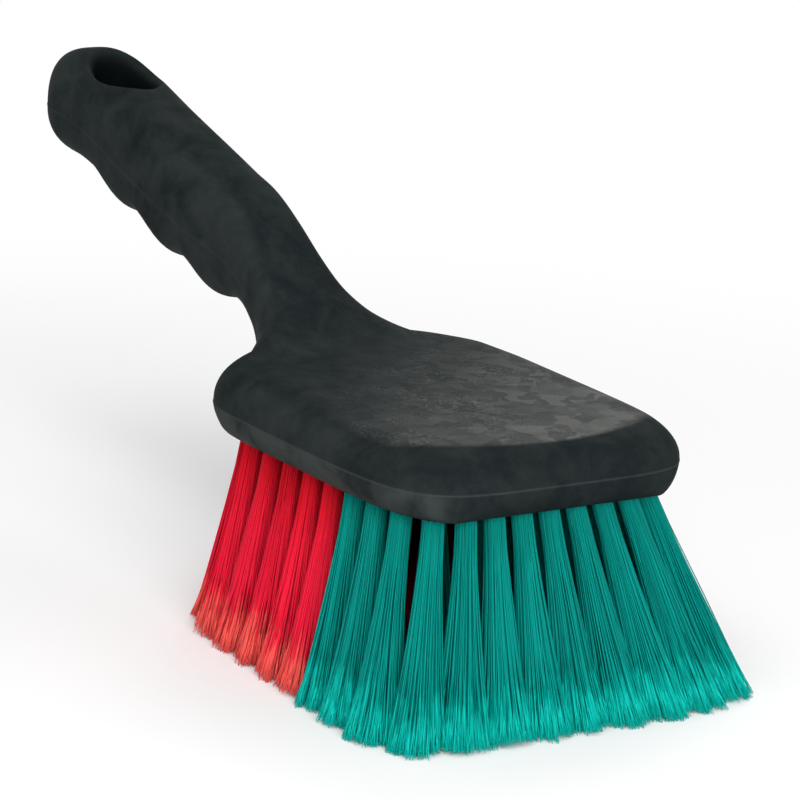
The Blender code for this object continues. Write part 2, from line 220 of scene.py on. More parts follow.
# The black plastic's colours, and how strongly those laid on top show
DARK_PLASTIC = (0.0092, 0.0132, 0.0140)
LIGHT_PLASTIC = (0.0168, 0.0212, 0.0214)
# worn dust on the block's top mixed with a painted sheen, lighter towards its front right
WEAR_AND_SHEEN_COLOUR = (0.114, 0.117, 0.112)
MARK_COLOUR = (0.185, 0.190, 0.182)
MARK_STRENGTH = 0.46
STREAK_COLOUR = (0.060, 0.066, 0.064)
STREAK_STRENGTH = 0.06
# painted reflection of the white floor on the near side
NEAR_SIDE_SHEEN_COLOUR = (0.060, 0.068, 0.066)
# painted highlight along the mould line's ridge
SEAM_HIGHLIGHT_COLOUR = (0.058, 0.068, 0.067)
SEAM_HIGHLIGHT_STRENGTH = 0.38
# painted shade deep in the hanging hole's bore
BORE_SHADE_COLOUR = (0.0020, 0.0030, 0.0032)
BORE_SHADE_STRENGTH = 0.90
PLASTIC_SPECULAR = 0.005
WEAR_AND_SHEEN_ROUGHNESS = 0.10

# Its noises: scale, detail, roughness, distortion
SEAM_NOISE = (90.0, 4.0, 0.7)
CLOUD_NOISE = (38.0, 4.0, 0.6, 0.8)
CURL_NOISE = (150.0, 4.0, 0.66, 1.4)
CREASE_NOISE = (85.0, 4.0, 0.65, 1.4)
MARK_NOISE = (48.0, 3.0)
STREAK_NOISE = (1.0, 4.0, 0.65, 0.8)
STREAK_STRETCH = (70.0, 420.0, 420.0)
MOTTLE_NOISE = (75.0, 6.0, 0.72, 0.4)
ROUGH_NOISE = (120.0, 4.0, 0.6)
GRAIN_NOISE = (1500.0, 2.0, 0.6)
DENT_NOISE = (130.0, 3.0)
# Scale and reach of the noise that warps the torn patches and the creases
TORN_WARP = (90.0, 0.020)
CREASE_WARP = (70.0, 0.014)
TORN_SCALE = 150.0
# Noise value that a winding line follows, and its width on either side
CURL_LINE = (0.5, 0.018)
CREASE_LINE = (0.5, 0.010)

# Its ramps: low and high, then what they give there if that isn't 0 and 1
SEAM_EDGE = (0.05, 0.95)
SEAM_PATCHES = (0.30, 0.60, 0.60, 1.0)
BEVEL_FADE = (0.26, 0.04)
WEAR_AND_SHEEN_CLOUDS = (0.30, 0.60, 0.62, 1.0)
WEAR_AND_SHEEN_TEARS = (0.1, 0.9, 0.66, 1.28)
MARK_PATCHES = (0.44, 0.60, 0.15, 1.0)
STREAK_EDGE = (0.52, 0.80)
MOTTLE_EDGE = (0.34, 0.66)
NEAR_CLOUDS = (0.30, 0.60)
BORE_SHADE_EDGE = (0.25, 0.95)
ROUGH_RANGE = (0.3, 0.7, 0.46, 0.60)
# Over the normal's Z and Y
TOP_FACING = (0.84, 0.96)
NEAR_FACING = (-0.35, -0.75)
# Over X in metres
NOSE_REACH = (0.139, 0.1435)
SEAM_FADE = (-0.02, 0.03, 0.40, 1.0)
# Over X + Y in metres
WEAR_AND_SHEEN_REACH = (0.02, 0.185)
MARK_REACH = (0.02, 0.085)
# Strength of the painted reflection of the white floor on the near side, above and below the mould
# line
NEAR_SIDE_SHEEN_STRENGTHS = (0.18, 0.62)

# Its bump
GRAIN_HEIGHT_SHARE = 0.15
DENT_HEIGHT_SHARE = 0.5
MARK_HEIGHT_SHARE = 0.35
BUMP_STRENGTH = 0.25
BUMP_DISTANCE = 0.0006

# The filaments' colours at the root, in the middle and at the tip, and the strength of the painted
# shade on the inner tufts near their roots
FILAMENT_LOOKS = {
    # painted shade: the root colours are darker than the middle ones, where the block and the other
    # tufts shade them
    "red": ((0.60, 0.006, 0.016), (0.80, 0.014, 0.046), (1.0, 0.145, 0.12), 0.97),
    "green": ((0.0, 0.23, 0.195), (0.0, 0.25, 0.215), (0.004, 0.58, 0.50), 0.50),
}
# Share of its way at which a filament has its middle colour
MIDDLE_SHARE = 0.5
# It pales from this share of its way on, and later by these parts of a noise and of its tone
PALE_START_SHARE = 0.55
PALE_NOISE_SHARE = 0.22
PALE_TONE_SHARE = 0.14
PALE_LENGTH_SHARE = 0.16
PALE_STRENGTH = 0.85
PALE_NOISE = (160.0, 2.0)
# Shares of the way over which light comes back to the inner tufts
INNER_LIGHT_SHARES = (0.45, 0.90)
# Brightness and roughness of the darkest and the lightest filaments
TONE_SHADES = (0.90, 1.10)
TONE_ROUGHNESS = (0.36, 0.50)
FILAMENT_SPECULAR = 0.05

PARTING_Z = BRISTLE_HEIGHT + BLOCK_SKIRT
FINGER_ZONE = HANDLE_REACH - BLOCK_REAR_REACH - FINGER_START - FINGERS_FROM_END
FINGER_PITCH = FINGER_ZONE / FINGER_COUNT
FRONT_TIP_REACH = BLOCK_FRONT_REACH - RING_INSETS[0] + FRONT_FLARE + TIP_SPREAD + STRAND_TIP_RADIUS
ORIGIN_STATION = (FRONT_TIP_REACH - HANDLE_REACH) / 2
BLOCK_MIDDLE_X = (BLOCK_FRONT_REACH - BLOCK_REAR_REACH) / 2 - ORIGIN_STATION
# Place of the left-hand parting line in a section's points
LEFT_PARTING_PLACE = 2 * (UPPER_STEPS + FLAT_STEPS)


# Shape of the moulding, as in the part

def smooth_step(value):
    value = min(max(value, 0.0), 1.0)
    return value * value * (3 - 2 * value)


def along(places, values, place):
    """Read a smooth curve through the given points, level past its two ends."""
    if place <= places[0]:
        return values[0]
    if place >= places[-1]:
        return values[-1]
    right = next(i for i, limit in enumerate(places) if limit >= place)
    left = right - 1
    span = places[right] - places[left]
    t = (place - places[left]) / span

    def slope(i):
        before = max(i - 1, 0)
        after = min(i + 1, len(places) - 1)
        return (values[after] - values[before]) / (places[after] - places[before]) * span

    start = values[left] * (1 + 2 * t) * (1 - t) ** 2 + slope(left) * t * (1 - t) ** 2
    return start + values[right] * (3 - 2 * t) * t ** 2 + slope(right) * (t - 1) * t ** 2


def oval(share, exponent):
    """Height of a unit superellipse at a share of its half-width."""
    share = min(abs(share), 1.0)
    return (1 - share ** exponent) ** (1 / exponent)


def outline_half_width(station):
    if station >= 0:
        return BLOCK_HALF_WIDTH * oval(station / BLOCK_FRONT_REACH, FRONT_OUTLINE_EXPONENT)
    block = BLOCK_HALF_WIDTH * oval(station / BLOCK_REAR_REACH, REAR_OUTLINE_EXPONENT)
    share = (-station - BLOCK_REAR_REACH) / (HANDLE_REACH - BLOCK_REAR_REACH)
    if share < 0:
        return max(block, GRIP_WIDTH / 2 * WIDTH_SHARES[0])
    return GRIP_WIDTH / 2 * along(WIDTH_PLACE_SHARES, WIDTH_SHARES, share)


def spine(station):
    """Height of the middle of the section, and its full height."""
    places = [-share * BLOCK_REAR_REACH for share in CROWN_PLACE_SHARES]
    heights = [BLOCK_SKIRT + share * BLOCK_CROWN for share in CROWN_RISE_SHARES]
    middles = [height / 2 - BLOCK_SKIRT for height in heights]
    for share, rise, height in zip(SPINE_SHARES, RISE_SHARES, HEIGHT_SHARES):
        places.append(-BLOCK_REAR_REACH - share * (HANDLE_REACH - BLOCK_REAR_REACH))
        middles.append(rise * HANDLE_RISE)
        heights.append(height * GRIP_HEIGHT)
    places.reverse()
    middles.reverse()
    heights.reverse()
    return along(places, middles, station), along(places, heights, station)


def bevel_share(station, side):
    """0 up to where the top breaks over, 1 at the block's front edge."""
    length = FRONT_BEVEL + (CORNER_BEVEL - FRONT_BEVEL) * (side / BLOCK_HALF_WIDTH) ** 2
    return max(station - (BLOCK_FRONT_REACH - length), 0.0) / length


def bevel_scale(station, side):
    """Fall of the top towards the block's front edge."""
    share = bevel_share(station, side)
    return (1 - share ** BEVEL_EDGE_EXPONENT) ** (1 / BEVEL_NOSE_EXPONENT)


def skirt_scale(station):
    """Fall of the skirt towards the block's front edge."""
    return oval(max(station - (BLOCK_FRONT_REACH - SKIRT_DRAFT), 0.0) / SKIRT_DRAFT, SKIRT_EXPONENT)


def finger_drop(station):
    turns = (-BLOCK_REAR_REACH - FINGER_START - station) / FINGER_PITCH
    if not 0 < turns < FINGER_COUNT:
        return 0.0
    return FINGER_DEPTH / 2 * (1 - math.cos(math.tau * turns))


def corner_angles(depth, exponent, steps):
    """Angles round a corner, with two close to the parting line for the flash to stand on."""
    share = min(FLASH_HALF_WIDTH / max(depth, FLASH_HALF_WIDTH), 1 / 2)
    first = math.asin(share ** (exponent / 2))
    second = first * AFTER_FLASH_TURNS
    if share < 1 / 2:
        second = math.asin((share * 2 * AFTER_FLASH_SHARE) ** (exponent / 2))
    others = [second + (math.pi / 2 - second) * i / (steps - 2) for i in range(steps - 1)]
    return [0.0, first] + others


def section(station):
    """Points of the body's section, anticlockwise from the right-hand parting line."""
    middle, height = spine(station)
    scale = oval(max(END_DOME - HANDLE_REACH - station, 0.0) / END_DOME, END_EXPONENT)
    half_width = outline_half_width(station) * scale
    top = middle + height / 2 * scale
    bottom = middle - height / 2 * scale
    parting = bottom + PARTING_SHARE * (top - bottom)
    if station > -BLOCK_REAR_REACH * CROWN_PLACE_SHARES[1]:
        parting = 0.0
    upper = top - parting
    lower = (parting - bottom) * skirt_scale(station) + finger_drop(station) * scale
    behind = smooth_step((-BLOCK_REAR_REACH - station) / SHOULDER_BLEND + 1 / 2)
    widest = FILLET_LIMIT_SHARE * half_width
    upper_fillet = min(SIDE_FILLET, widest) * (1 - behind) + widest * behind
    lower_fillet = min(SKIRT_DRAFT, widest) * (1 - behind) + widest * behind
    upper_exponent = TOP_EXPONENT * (1 - behind) + GRIP_EXPONENT * behind
    lower_exponent = SKIRT_EXPONENT * (1 - behind) + UNDERSIDE_EXPONENT * behind

    def corner(angle, fillet, depth, exponent):
        side = half_width - fillet * (1 - max(math.cos(angle), 0.0) ** (2 / exponent))
        return side, depth * math.sin(angle) ** (2 / exponent)

    above = [corner(angle, upper_fillet, upper, upper_exponent)
             for angle in corner_angles(upper, upper_exponent, UPPER_STEPS)]
    below = [corner(angle, lower_fillet, lower, lower_exponent)
             for angle in corner_angles(lower, lower_exponent, LOWER_STEPS)[1:]]
    flat = [share / FLAT_STEPS for share in range(FLAT_STEPS - 1, -FLAT_STEPS, -1)]
    above += [(above[-1][0] * share, upper) for share in flat if share >= 0]
    above = [(side, rise * bevel_scale(station, side)) for side, rise in above]
    ring = [(side, parting + rise) for side, rise in above]
    ring += [(-side, parting + rise) for side, rise in reversed(above[:-1])]
    ring += [(-side, parting - drop) for side, drop in below]
    ring += [(-below[-1][0] * share, parting - lower) for share in flat]
    ring += [(side, parting - drop) for side, drop in reversed(below)]
    return ring


def evenly(start, end, steps):
    return [start + (end - start) * i / steps for i in range(1, steps + 1)]


def body_stations():
    dome_start = END_DOME - HANDLE_REACH
    stations = []
    for i in range(DOME_STEPS + 1):
        angle = math.radians(DOME_LAST_DEGREES) * (1 - i / DOME_STEPS)
        stations.append(dome_start - END_DOME * math.sin(angle) ** (2 / END_EXPONENT))
    finger_front = -BLOCK_REAR_REACH - FINGER_START
    finger_rear = finger_front - FINGER_ZONE
    stations += evenly(dome_start, finger_rear, GRIP_STEPS)
    stations += evenly(finger_rear, finger_front, FINGER_STEPS * FINGER_COUNT)
    stations += evenly(finger_front, -BLOCK_REAR_REACH, NECK_STEPS)
    for i in range(1, SHOULDER_STEPS + 1):
        angle = math.pi / 2 * (1 - i / (SHOULDER_STEPS + 1))
        stations.append(-BLOCK_REAR_REACH * math.sin(angle) ** (2 / REAR_OUTLINE_EXPONENT))
    front_start = BLOCK_FRONT_REACH - CORNER_BEVEL
    stations += evenly(stations[-1], front_start, SIDE_STEPS)
    start = math.acos((front_start / BLOCK_FRONT_REACH) ** (FRONT_OUTLINE_EXPONENT / 2))
    for angle in evenly(start, math.radians(FRONT_FIRST_DEGREES), FRONT_STEPS):
        stations.append(BLOCK_FRONT_REACH * math.cos(angle) ** (2 / FRONT_OUTLINE_EXPONENT))
    return stations


def mesh_object(name, shape, material=None):
    """Make an object from a bmesh, with its faces turned outward."""
    bmesh.ops.recalc_face_normals(shape, faces=shape.faces)
    mesh = bpy.data.meshes.new(name)
    shape.to_mesh(mesh)
    shape.free()
    obj = bpy.data.objects.new(name, mesh)
    bpy.context.scene.collection.objects.link(obj)
    if material:
        mesh.materials.append(material)
    return obj


def skin(shape, rings):
    """Faces between rings of vertices, and a cap on each end."""
    for near, far in zip(rings, rings[1:]):
        for i in range(len(near)):
            after = (i + 1) % len(near)
            shape.faces.new((near[i], near[after], far[after], far[i]))
    shape.faces.new(rings[0])
    shape.faces.new(rings[-1])


def skin_height(station, side, above):
    """Height of the body's top or underside at a distance from its middle plane."""
    ring = section(station)
    half = ring[:LEFT_PARTING_PLACE + 1] if above else ring[LEFT_PARTING_PLACE:] + ring[:1]
    sides, heights = zip(*sorted(half))
    return np.interp(side, sides, heights)


def hanging_hole_rings(above):
    """Rings of the bore's upper or lower half, from outside the skin to the end of the lip."""
    station = HANG_FROM_END - HANDLE_REACH
    middle, height = spine(station)
    tilt = math.radians(HANG_TILT_DEGREES)
    outward = 1 if above else -1
    lip = HANG_LIP if above else HANG_LIP_BELOW
    lip_depth = HANG_LIP_DEPTH if above else HANG_LIP_BELOW
    angles = [math.tau * i / HANG_SIDES for i in range(HANG_SIDES)]

    def oval_place(radius, angle):
        return radius * HANG_STRETCH_SHARE * math.cos(angle), radius * math.sin(angle)

    def skin_from_middle(angle):
        """Distance along the bore from its middle to the skin, closed in on by steps."""
        ahead, side = oval_place(HANG_HALF_WIDTH + lip, angle)
        distance = outward * height / 2
        for _ in range(SKIN_TRIES):
            place = station + ahead * math.cos(tilt) + distance * math.sin(tilt)
            rise = skin_height(place, side, above) - middle
            distance = (rise + ahead * math.sin(tilt)) / math.cos(tilt)
        return distance + outward * SKIN_CLEARANCE

    reaches = [skin_from_middle(angle) for angle in angles]
    steps = [(HANG_HALF_WIDTH + lip, CUT_OVERRUN)]
    for i in range(LIP_STEPS + 1):
        turn = math.pi / 2 * i / LIP_STEPS
        steps.append((HANG_HALF_WIDTH + lip * (1 - math.sin(turn)), lip_depth * (math.cos(turn) - 1)))
    return [[(*oval_place(radius, angle), reach + outward * rise)
             for angle, reach in zip(angles, reaches)]
            for radius, rise in steps]


def hanging_hole_place():
    """The middle of the bore and its lean, as a matrix."""
    station = HANG_FROM_END - HANDLE_REACH
    middle, _ = spine(station)
    tilt = Matrix.Rotation(math.radians(HANG_TILT_DEGREES), 4, "Y")
    return Matrix.Translation((station - ORIGIN_STATION, 0, PARTING_Z + middle)) @ tilt


def hanging_hole_tool():
    tool = bmesh.new()
    rings = [[tool.verts.new(point) for point in ring]
             for ring in hanging_hole_rings(True) + hanging_hole_rings(False)[::-1]]
    skin(tool, rings)
    obj = mesh_object("hanging_hole_tool", tool)
    obj.data.transform(hanging_hole_place())
    return obj


def bore_shares(mesh):
    """1 at points on the bore's wall, falling to 0 over its lip."""
    to_bore = hanging_hole_place().inverted()
    places = [to_bore @ vertex.co for vertex in mesh.vertices]
    widths = np.array([math.hypot(place.x / HANG_STRETCH_SHARE, place.y) for place in places])
    return np.clip((HANG_HALF_WIDTH + HANG_LIP - widths) / HANG_LIP, 0.0, 1.0)


def ring_places(inset, count):
    """Root places of one ring of tufts, spaced round the inset outline."""
    width = BLOCK_HALF_WIDTH - inset
    points = []
    for i in range(OUTLINE_SAMPLES + 1):
        angle = math.tau * i / OUTLINE_SAMPLES
        ahead = math.cos(angle) >= 0
        reach = (BLOCK_FRONT_REACH if ahead else BLOCK_REAR_REACH) - inset
        exponent = FRONT_OUTLINE_EXPONENT if ahead else REAR_OUTLINE_EXPONENT
        exponent *= RING_SQUARENESS
        along_x = math.copysign(abs(math.cos(angle)) ** (2 / exponent), math.cos(angle))
        along_y = math.copysign(abs(math.sin(angle)) ** (2 / exponent), math.sin(angle))
        points.append(Vector((reach * along_x, width * along_y, 0.0)))

    def length(before, after):
        """Length of a step, counted short along the block."""
        return math.hypot((after.x - before.x) / SIDE_SPACING_SHARE, after.y - before.y)

    spacing = sum(length(before, after) for before, after in zip(points, points[1:])) / count
    places = []
    travelled = 0.0
    for before, after in zip(points, points[1:]):
        step = length(before, after)
        while len(places) < count and travelled + step > spacing * len(places):
            places.append(before.lerp(after, (spacing * len(places) - travelled) / step))
        travelled += step
    return places


def tip_place(root):
    """Where the middle of a tuft ends on the plane of the tips."""
    rear = RING_INSETS[0] - BLOCK_REAR_REACH
    front = BLOCK_FRONT_REACH - RING_INSETS[0]
    share = (root.x - rear) / (front - rear)
    lean_x = FRONT_FLARE * share - REAR_FLARE * (1 - share)
    side_flare = SIDE_FLARE_FRONT * share + SIDE_FLARE_REAR * (1 - share)
    lean_y = side_flare * root.y / (BLOCK_HALF_WIDTH - RING_INSETS[0]) + SIDE_SWEEP
    return Vector((root.x + lean_x, root.y + lean_y, 0.0))


def tuft_holes_tool(roots):
    tool = bmesh.new()
    angles = [math.tau * i / HOLE_SIDES for i in range(HOLE_SIDES)]
    for root in roots:
        rings = [[tool.verts.new((root.x - ORIGIN_STATION + TUFT_HOLE_RADIUS * math.cos(angle),
                                  root.y + TUFT_HOLE_RADIUS * math.sin(angle), height))
                  for angle in angles]
                 for height in (BRISTLE_HEIGHT - CUT_OVERRUN, BRISTLE_HEIGHT + TUFT_HOLE_DEPTH)]
        skin(tool, rings)
    return mesh_object("tuft_holes_tool", tool)


def cut(body, tool):
    boolean = body.modifiers.new("cut", "BOOLEAN")
    boolean.operation = "DIFFERENCE"
    boolean.solver = "EXACT"
    boolean.object = tool


def moulding(roots, material):
    """The block and handle as one fine mesh, with flash, hanging hole and tuft holes."""
    shell = bmesh.new()
    seam = shell.verts.layers.float.new("seam")
    bevel = shell.verts.layers.float.new("bevel")
    rings = []
    for station in body_stations():
        rings.append([shell.verts.new((station - ORIGIN_STATION, side, PARTING_Z + height))
                      for side, height in section(station)])
        for vertex in rings[-1]:
            vertex[bevel] = bevel_share(station, vertex.co.y)
    skin(shell, rings)
    bmesh.ops.recalc_face_normals(shell, faces=shell.faces)
    shell.normal_update()
    for ring in rings:
        for place, vertex in enumerate(ring):
            on_flash = place in (0, LEFT_PARTING_PLACE)
            vertex[seam] = float(on_flash)
            vertex.co -= vertex.normal * (SKIN_INSET - FLASH_HEIGHT * on_flash)
    body = mesh_object("moulded_body", shell, material)
    tools = [hanging_hole_tool(), tuft_holes_tool(roots)]
    for tool in tools:
        cut(body, tool)
    graph = bpy.context.evaluated_depsgraph_get()
    finished = bpy.data.meshes.new_from_object(body.evaluated_get(graph))
    body.modifiers.clear()
    body.data = finished
    for tool in tools:
        bpy.data.objects.remove(tool, do_unlink=True)
    # the bore's share carries the painted shade deep in the hanging hole
    bore_shade = finished.attributes.new("bore_shade", "FLOAT", "POINT")
    bore_shade.data.foreach_set("value", bore_shares(finished).astype(np.float32))
    finished.shade_smooth()
    finished.set_sharp_from_angle(angle=math.radians(SHARP_DEGREES))
    return body


# Filaments

def tube_faces(tubes, rings, sides):
    """Corner indices of the sides and ends of many equal tubes laid one after another."""
    first = np.arange(tubes)[:, None, None, None] * rings * sides
    level = np.arange(rings - 1)[None, :, None, None] * sides
    turn = np.arange(sides)[None, None, :, None]
    after = (turn + 1) % sides
    corners = [level + turn, level + after, level + sides + after, level + sides + turn]
    quads = np.concatenate(corners, axis=3) + first
    tube = np.arange(tubes)[:, None] * rings * sides
    bottom = tube + np.arange(sides)[::-1][None, :]
    top = tube + (rings - 1) * sides + np.arange(sides)[None, :]
    return quads.reshape(-1, 4), np.concatenate([bottom, top])


def tubes(paths, radii, sides, turns):
    """Points of level-cut tubes. paths is tubes by rings by 3, radii is tubes by rings."""
    angles = turns[:, None, None] + math.tau * np.arange(sides)[None, None, :] / sides
    points = np.repeat(paths[:, :, None, :], sides, axis=2)
    points[..., 0] += radii[:, :, None] * np.cos(angles)
    points[..., 1] += radii[:, :, None] * np.sin(angles)
    return points.reshape(-1, 3)


def mesh_from_arrays(name, points, quads, ends, fields, material):
    mesh = bpy.data.meshes.new(name)
    mesh.vertices.add(len(points))
    mesh.vertices.foreach_set("co", points.astype(np.float32).ravel())
    corners = np.concatenate([quads.ravel(), ends.ravel()]).astype(np.int32)
    sizes = np.concatenate([np.full(len(quads), 4), np.full(len(ends), ends.shape[1])])
    starts = np.concatenate([[0], np.cumsum(sizes)[:-1]])
    mesh.loops.add(len(corners))
    mesh.loops.foreach_set("vertex_index", corners)
    mesh.polygons.add(len(sizes))
    mesh.polygons.foreach_set("loop_start", starts.astype(np.int32))
    mesh.update(calc_edges=True)
    for field, values in fields.items():
        attribute = mesh.attributes.new(field, "FLOAT", "POINT")
        attribute.data.foreach_set("value", values.astype(np.float32))
    mesh.shade_smooth()
    mesh.materials.append(material)
    mesh.validate()
    obj = bpy.data.objects.new(name, mesh)
    bpy.context.scene.collection.objects.link(obj)
    return obj


def tuft_places(count, chance):
    """Even places of a tuft's filaments in a unit circle, and the clump that each belongs to."""
    order = np.arange(count) + 1 / 2
    radius = np.sqrt(order / count)
    # a golden angle from each filament to the next spreads them evenly
    turn = order * math.pi * (3 - math.sqrt(5)) + chance.uniform(0, math.tau)
    place = np.stack([radius * np.cos(turn), radius * np.sin(turn)], axis=1)
    middles = place[chance.choice(count, CLUMPS, replace=False)]
    away = np.linalg.norm(place[:, None] - middles[None], axis=2)
    return place, np.argmin(away, axis=1)


def filament_paths(root, tip, place, clump, levels, chance):
    """Paths of a tuft's filaments from root to tip, read at the given shares of the way."""
    root_spread = TUFT_HOLE_RADIUS - FILAMENT_RADIUS
    tip_spread = TIP_FAN - SPLIT_SPREAD
    bend = chance.normal(0, BEND, place.shape)
    stray = chance.normal(0, STRAY, place.shape) + chance.normal(0, CLUMP_SHIFT, (CLUMPS, 2))[clump]
    end = place * tip_spread + stray
    reach = np.linalg.norm(end, axis=1, keepdims=True)
    end *= tip_spread / np.maximum(reach, tip_spread)
    way = levels[..., None]
    centre = np.array(root)[None, None, :2] * (1 - way) + np.array(tip)[None, None, :2] * way
    fanned = np.maximum(way, 0.0) ** FAN_EXPONENT
    flat = centre + place[:, None] * root_spread * (1 - fanned) + end[:, None] * fanned
    flat = flat + bend[:, None] * np.sin(math.pi * way) ** 2
    rise = BRISTLE_HEIGHT * (1 - way)
    return np.concatenate([flat, rise], axis=2)


def filament_tuft(name, root, count, inner, seed, material):
    """A tuft of fine filaments, each split near its tip. Inner is 1 inside the outer ring."""
    chance = np.random.default_rng(seed)
    shift = Vector((-ORIGIN_STATION, 0, 0))
    root = root + shift
    tip = tip_place(root - shift) + shift
    outward = Vector((tip.x - BLOCK_MIDDLE_X, tip.y, 0)).normalized()
    tip = tip - outward * (TIP_FAN - TIP_SPREAD - STRAND_TIP_RADIUS)
    split_at = chance.uniform(*SPLIT_AT_SHARES, count)
    shares = np.array([-ROOT_BURIED / BRISTLE_HEIGHT, *LEVEL_SHARES])
    levels = shares[None, :] * np.where(shares > 0, split_at[:, None], 1.0)
    place, clump = tuft_places(count, chance)
    paths = filament_paths(root, tip, place, clump, levels, chance)
    turns = chance.uniform(0, math.tau, count)
    radii = FILAMENT_RADIUS + (FILAMENT_TIP_RADIUS - FILAMENT_RADIUS) * np.maximum(levels, 0.0) ** 2
    trunk = tubes(paths, radii, FILAMENT_SIDES, turns)
    quads, ends = tube_faces(count, levels.shape[1], FILAMENT_SIDES)

    splits = count * SPLIT_COUNT
    owner = np.repeat(np.arange(count), SPLIT_COUNT)
    leave = paths[owner, -1]
    heading = paths[owner, -1] - paths[owner, -2]
    heading /= -heading[:, 2:]
    ragged = RAGGED_TIPS * chance.uniform(0, 1, splits) ** RAGGED_EXPONENT
    ragged += CLUMP_SHORT * chance.uniform(0, 1, CLUMPS)[clump[owner]] ** CLUMP_SHORT_EXPONENT
    drop = leave[:, 2] - ragged
    side = chance.normal(0, 1, (splits, 2))
    side *= (SPLIT_SPREAD / np.maximum(np.linalg.norm(side, axis=1), 1.0))[:, None]
    start = leave - heading * SPLIT_OVERLAP
    steps = np.array(SPLIT_LEVEL_SHARES)[None, :, None]
    split_paths = start[:, None] + heading[:, None] * (SPLIT_OVERLAP + drop[:, None, None]) * steps
    split_paths[..., :2] += side[:, None] * steps ** SPLIT_EXPONENT
    split_radii = np.interp(SPLIT_LEVEL_SHARES, (0, 1), (SPLIT_RADIUS, SPLIT_END_RADIUS))
    split_radii = np.tile(split_radii, (splits, 1))
    fine = tubes(split_paths, split_radii, FILAMENT_SIDES, chance.uniform(0, math.tau, splits))
    fine_quads, fine_ends = tube_faces(splits, split_paths.shape[1], FILAMENT_SIDES)

    points = np.clip(np.concatenate([trunk, fine]), cad_box[0], cad_box[1])
    quads = np.concatenate([quads, fine_quads + len(trunk)])
    ends = np.concatenate([ends, fine_ends + len(trunk)])
    tone = chance.uniform(0, 1, count)
    tones = np.concatenate([np.repeat(tone, levels.shape[1] * FILAMENT_SIDES),
                            np.repeat(tone[owner], split_paths.shape[1] * FILAMENT_SIDES)])
    way = 1 - points[:, 2] / BRISTLE_HEIGHT
    fields = {"way": way, "tone": tones, "inner": np.full(len(points), inner)}
    return mesh_from_arrays(name, points, quads, ends, fields, material)


# Materials

class Nodes:
    """A material's node tree, with short calls for what the materials here share."""

    def __init__(self, name):
        self.material = bpy.data.materials.new(name)
        self.material.use_nodes = True
        self.tree = self.material.node_tree
        self.shader = self.tree.nodes["Principled BSDF"]

    def add(self, kind, **settings):
        node = self.tree.nodes.new(kind)
        for key, value in settings.items():
            setattr(node, key, value)
        return node

    def put(self, socket, value):
        if hasattr(value, "is_output"):
            self.tree.links.new(value, socket)
        else:
            socket.default_value = value

    def place(self, scale=(1, 1, 1)):
        """Object coordinates in metres, stretched by scale."""
        coordinates = self.add("ShaderNodeTexCoord")
        mapping = self.add("ShaderNodeMapping")
        mapping.inputs["Scale"].default_value = scale
        self.put(mapping.inputs["Vector"], coordinates.outputs["Object"])
        return mapping.outputs["Vector"]

    def noise(self, place, scale, detail=3.0, roughness=0.5, distortion=0.0):
        node = self.add("ShaderNodeTexNoise")
        for key, value in (("Vector", place), ("Scale", scale), ("Detail", detail),
                           ("Roughness", roughness), ("Distortion", distortion)):
            self.put(node.inputs[key], value)
        return node.outputs["Fac"]

    def ramp(self, value, low, high, out_low=0.0, out_high=1.0):
        """Smooth step of a value from low to high."""
        node = self.add("ShaderNodeMapRange", interpolation_type="SMOOTHSTEP")
        for key, given in (("Value", value), ("From Min", low), ("From Max", high),
                           ("To Min", out_low), ("To Max", out_high)):
            self.put(node.inputs[key], given)
        return node.outputs["Result"]

    def maths(self, operation, *values):
        node = self.add("ShaderNodeMath", operation=operation)
        for socket, value in zip(node.inputs, values):
            self.put(socket, value)
        return node.outputs[0]

    def times(self, product, *others):
        for other in others:
            product = self.maths("MULTIPLY", product, other)
        return product

    def field(self, name):
        """A value stored at the mesh's points."""
        return self.add("ShaderNodeAttribute", attribute_name=name).outputs["Fac"]

    def axes(self, vector):
        """X, Y and Z of a vector."""
        node = self.add("ShaderNodeSeparateXYZ")
        self.put(node.inputs[0], vector)
        return node.outputs

    def mix(self, share, first, second):
        node = self.add("ShaderNodeMix", data_type="RGBA")
        self.put(node.inputs["Factor"], share)
        self.put(node.inputs["A"], (*first, 1.0) if isinstance(first, tuple) else first)
        self.put(node.inputs["B"], (*second, 1.0) if isinstance(second, tuple) else second)
        return node.outputs["Result"]

    def warped(self, scale, reach):
        """Object coordinates pushed about by noise, to a reach in metres."""
        push = self.add("ShaderNodeTexNoise")
        self.put(push.inputs["Vector"], self.place())
        self.put(push.inputs["Scale"], scale)
        shift = self.add("ShaderNodeVectorMath", operation="MULTIPLY_ADD")
        self.put(shift.inputs[0], push.outputs["Color"])
        self.put(shift.inputs[1], (reach, reach, reach))
        self.put(shift.inputs[2], self.place())
        return shift.outputs["Vector"]

    def cells(self, place, scale):
        """One even value in each patch of a broken-up surface."""
        node = self.add("ShaderNodeTexVoronoi")
        self.put(node.inputs["Vector"], place)
        self.put(node.inputs["Scale"], scale)
        patch = self.add("ShaderNodeSeparateColor")
        self.put(patch.inputs[0], node.outputs["Color"])
        return patch.outputs[0]

    def band(self, value, middle, width):
        """1 where a value is near the middle, so that noise gives thin winding lines."""
        off = self.maths("ABSOLUTE", self.maths("SUBTRACT", value, middle))
        return self.ramp(off, width, 0.0)


def mould_line_highlight(n, x, z):
    """Share of the painted highlight along the mould line, which is patchy and fades towards the
    handle.
    """
    # the block's flat nose has no points on the line, so the line is drawn there by height
    nose = n.times(n.band(z, PARTING_Z, FLASH_HALF_WIDTH), n.ramp(x, *NOSE_REACH))
    seam = n.maths("MAXIMUM", n.ramp(n.field("seam"), *SEAM_EDGE), nose)
    patches = n.ramp(n.noise(n.place(), *SEAM_NOISE), *SEAM_PATCHES)
    return n.times(seam, patches, n.ramp(x, *SEAM_FADE))


